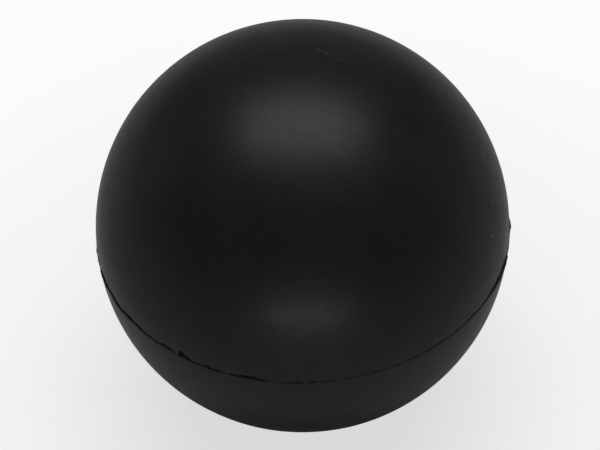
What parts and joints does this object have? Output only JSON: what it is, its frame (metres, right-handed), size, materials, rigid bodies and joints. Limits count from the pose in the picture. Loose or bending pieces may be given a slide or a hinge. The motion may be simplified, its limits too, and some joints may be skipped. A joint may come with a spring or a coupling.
{
  "type": "case opening friction ball",
  "caption": "Hollow soft black rubber ball that grips a screwed watch case back by friction, moulded in two cemented halves with a torn flash line.",
  "frame": {"origin": "centre of the ball", "axes": "+Z along the axis of the two half shells, from the lower one to the upper one, so the joint lies in the plane z = 0; -Y is the front, which carries the nick and faces the viewer"},
  "size_m": [0.0654, 0.0651, 0.065],
  "materials": {
    "black_rubber": "satin moulded rubber with fine grain and light dust",
    "torn_rubber": "matte, ragged where the flash was torn off",
    "rubber_cement": "dull cured cement"
  },
  "bodies": {
    "root": {"upper_half_shell": "black_rubber", "lower_half_shell": "black_rubber", "seam_cement": "rubber_cement", "seam_flash": "torn_rubber", "flash_tag": "torn_rubber"}
  },
  "joints": []
}
